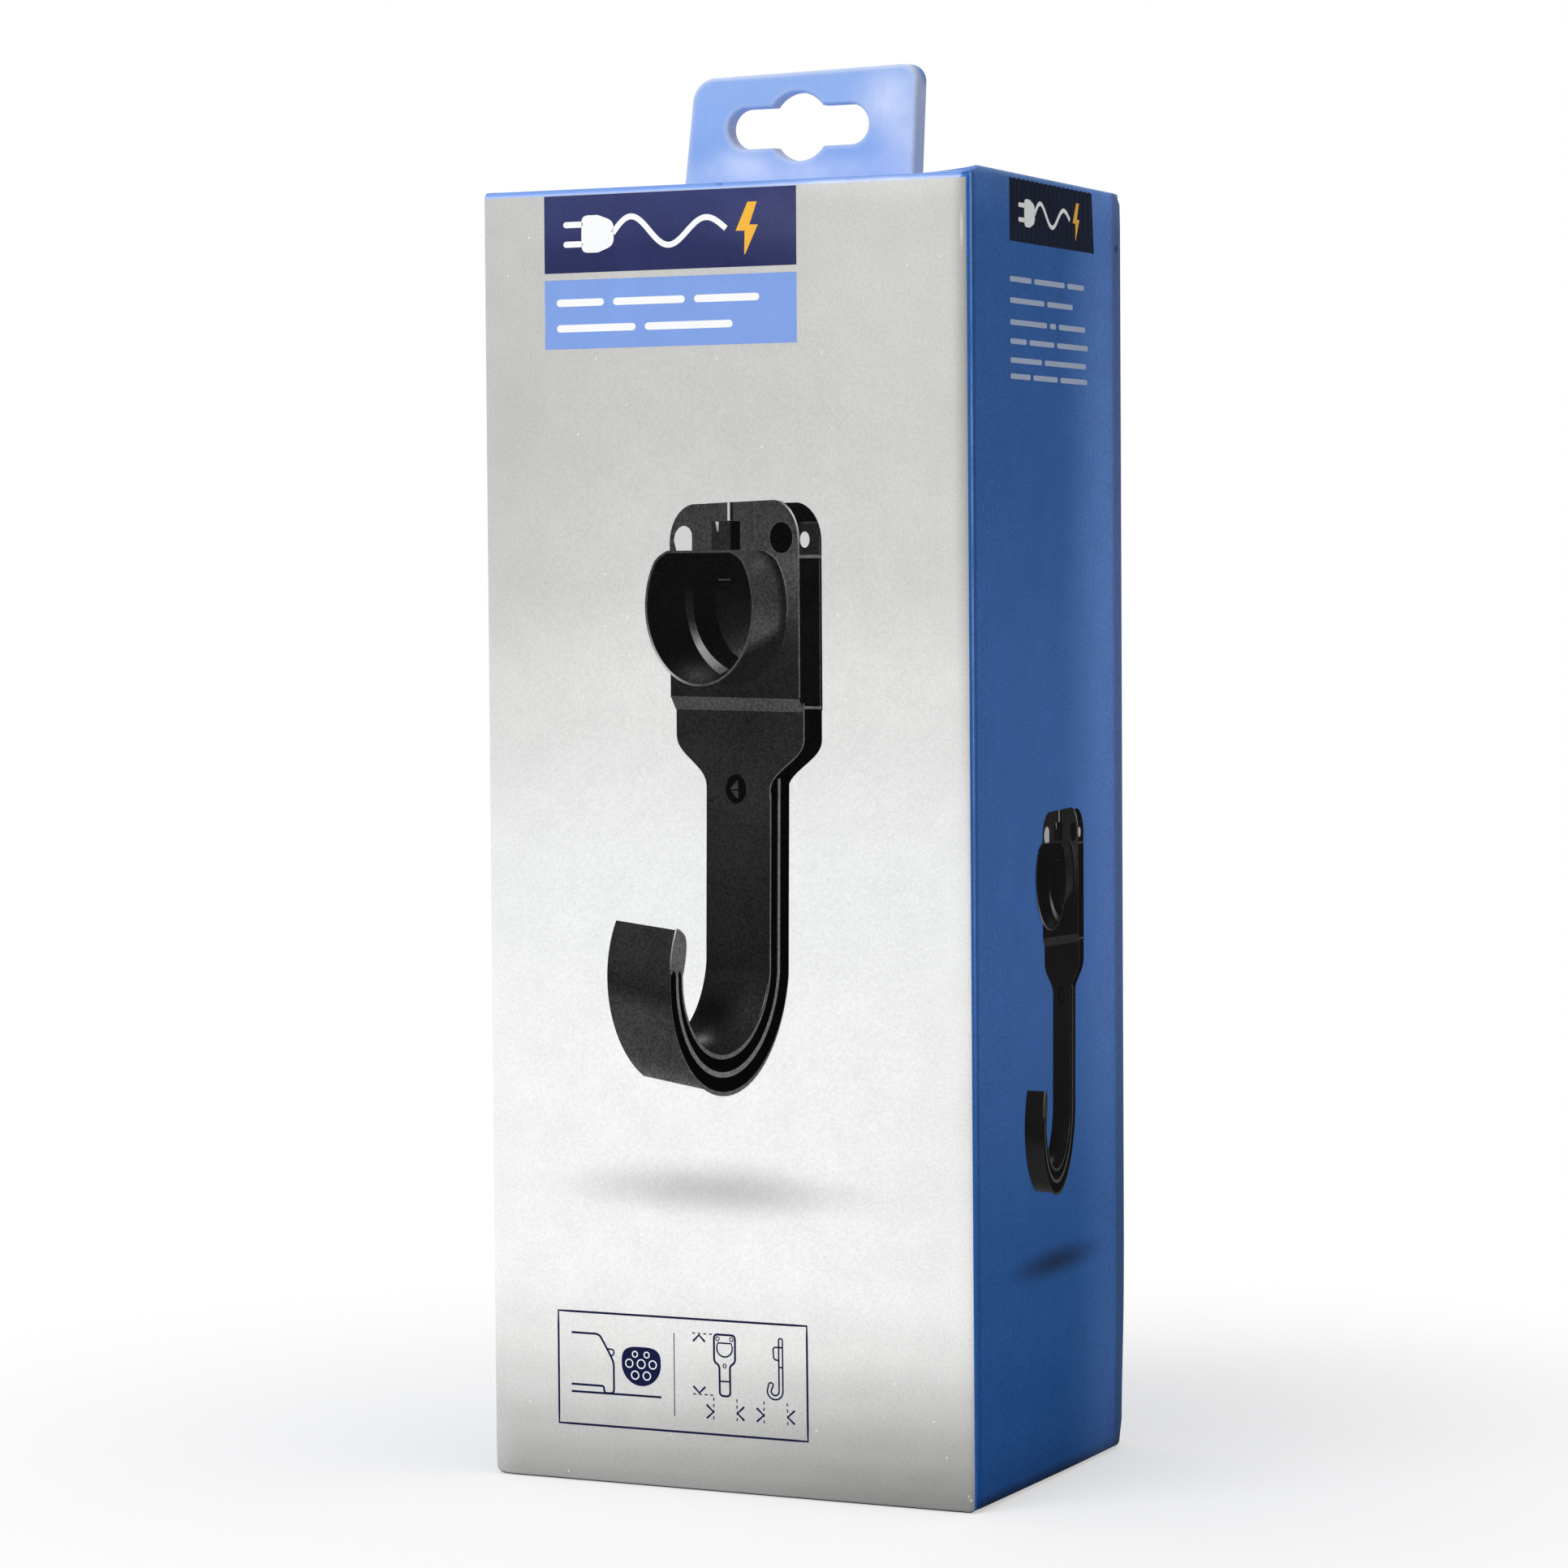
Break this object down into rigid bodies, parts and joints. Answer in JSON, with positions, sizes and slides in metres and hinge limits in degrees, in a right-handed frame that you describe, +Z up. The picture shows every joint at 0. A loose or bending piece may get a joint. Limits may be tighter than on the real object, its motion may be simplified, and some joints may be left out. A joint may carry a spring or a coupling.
{
  "type": "hang-tab retail carton",
  "caption": "Tall closed corrugated carton with silver and blue printed panels and a hang tab with a slotted hole, packing a wall holder for a car-charging connector.",
  "frame": {"origin": "centre of the carton's base", "axes": "+Z up, +X to the right and the front panel facing -Y"},
  "size_m": [0.115, 0.087, 0.307],
  "materials": {
    "blue_print": "printed, satin varnish",
    "silver_print": "printed, satin varnish",
    "light_blue_print": "printed, satin varnish",
    "navy_ink": "printed ink",
    "pale_ink": "printed ink",
    "amber_ink": "printed ink",
    "charcoal_ink": "printed ink"
  },
  "bodies": {
    "root": {"carton": "blue_print"}
  },
  "joints": []
}
